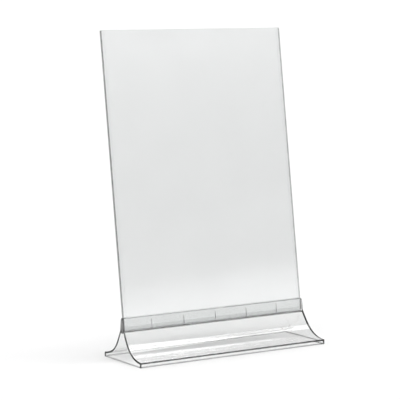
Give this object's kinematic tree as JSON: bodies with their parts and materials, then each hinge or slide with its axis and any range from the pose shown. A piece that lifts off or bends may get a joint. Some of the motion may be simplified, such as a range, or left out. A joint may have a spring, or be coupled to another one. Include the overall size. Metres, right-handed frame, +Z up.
{
  "type": "tabletop sign stand",
  "caption": "Clear tabletop sign stand: a flared hollow foot with a leaning slot that holds a flat upright card pocket.",
  "frame": {"origin": "middle of the whole stand's footprint box, at table level; the foot's own middle is 6.1 mm in front of it, because the pocket leans back past the foot", "axes": "+Z up, front of the stand faces -Y, +X along the foot to the right as seen from the front"},
  "size_m": [0.228, 0.0838, 0.3324],
  "materials": {
    "foot_clear": "clear moulded styrene, high gloss, see-through",
    "sheet_clear": "clear sheet, high gloss, see-through, faintly grey",
    "strip_clear": "clear bonded spacer strip, slightly hazy"
  },
  "bodies": {
    "foot": {"base": "foot_clear"},
    "pocket": {"pocket_front_sheet": "sheet_clear", "pocket_rear_sheet": "sheet_clear", "pocket_left_strip": "strip_clear", "pocket_right_strip": "strip_clear", "pocket_bottom_strip": "strip_clear"}
  },
  "joints": [
    {"name": "pocket_lift", "type": "slide", "parent": "foot", "child": "pocket", "axis": [0, 0.1444, 0.9895], "range_m": [0, 0.02]}
  ]
}
